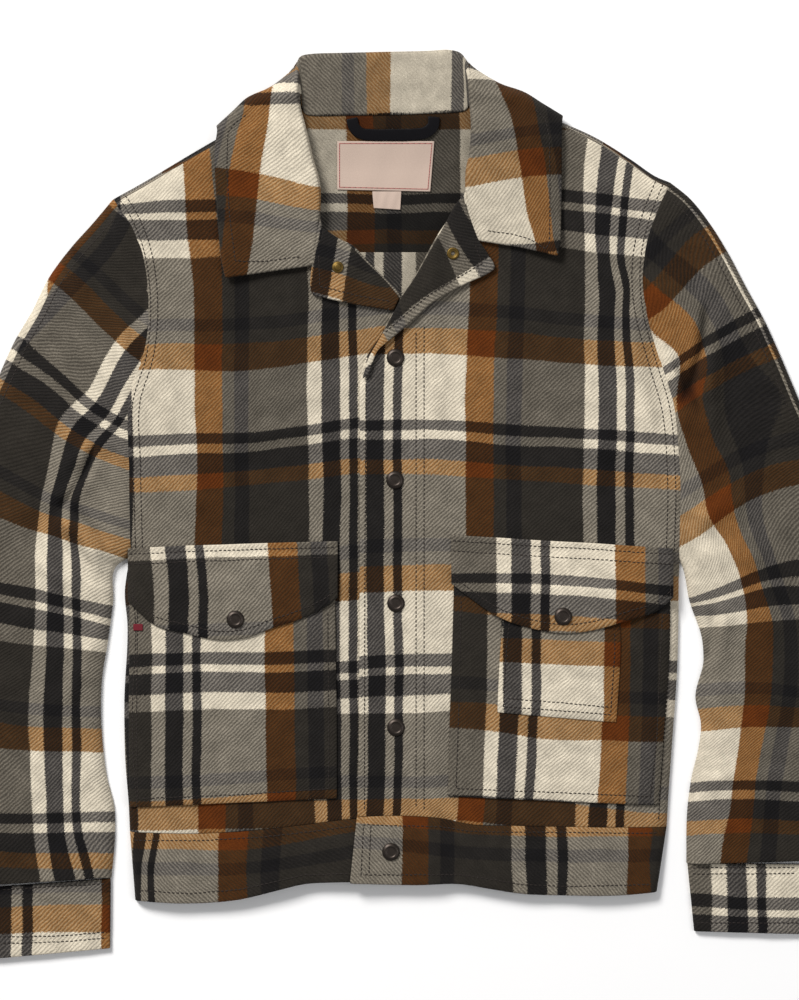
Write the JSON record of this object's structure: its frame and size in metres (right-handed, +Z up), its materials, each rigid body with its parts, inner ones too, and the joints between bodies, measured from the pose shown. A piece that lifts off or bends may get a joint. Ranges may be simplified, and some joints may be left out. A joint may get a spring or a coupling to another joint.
{
  "type": "work coat",
  "caption": "Waist-length plaid wool work coat laid flat, fronts lapped and snapped below an open neck, with a turned-down collar, flap pockets, waistband and cuffs.",
  "frame": {"origin": "middle of the coat's bounding box in plan, on the surface it lies on", "axes": "+Y from the hem to the collar, +X across the chest to the wearer's left sleeve, +Z up out of the surface, off the fronts"},
  "size_m": [0.8336, 0.784, 0.0171],
  "materials": {
    "wool_plaid": "napped wool twill in a large plaid of cream, charcoal, black and ochre",
    "loop_satin": "black satin tape",
    "label_cloth": "plain woven label cloth, no text",
    "tab_cloth": "plain dark red tape",
    "snap_cap": "darkened metal snap cap, satin",
    "snap_brass": "aged brass"
  },
  "bodies": {
    "root": {"front_right": "wool_plaid", "front_left": "wool_plaid", "back_yoke": "wool_plaid", "back": "wool_plaid", "sleeve_right_front": "wool_plaid", "sleeve_right_back": "wool_plaid", "sleeve_left_front": "wool_plaid", "sleeve_left_back": "wool_plaid", "cuff_right": "wool_plaid", "cuff_left": "wool_plaid", "waistband_right": "wool_plaid", "waistband_left": "wool_plaid", "waistband_back": "wool_plaid", "pocket_right": "wool_plaid", "pocket_left": "wool_plaid", "pocket_small": "wool_plaid", "flap_right": "wool_plaid", "flap_left": "wool_plaid", "lapel_left": "wool_plaid", "lapel_right": "wool_plaid", "top_collar": "wool_plaid", "under_collar": "wool_plaid", "hanger_loop": "loop_satin", "label_main": "label_cloth", "label_size": "label_cloth", "tab_right": "tab_cloth", "snap_socket_lapel": "snap_brass", "snap_stud_lapel": "snap_brass", "snap_front_1": "snap_cap", "snap_front_2": "snap_cap", "snap_front_3": "snap_cap", "snap_front_4": "snap_cap", "snap_waistband": "snap_cap", "snap_flap_right": "snap_cap", "snap_flap_left": "snap_cap"}
  },
  "joints": []
}
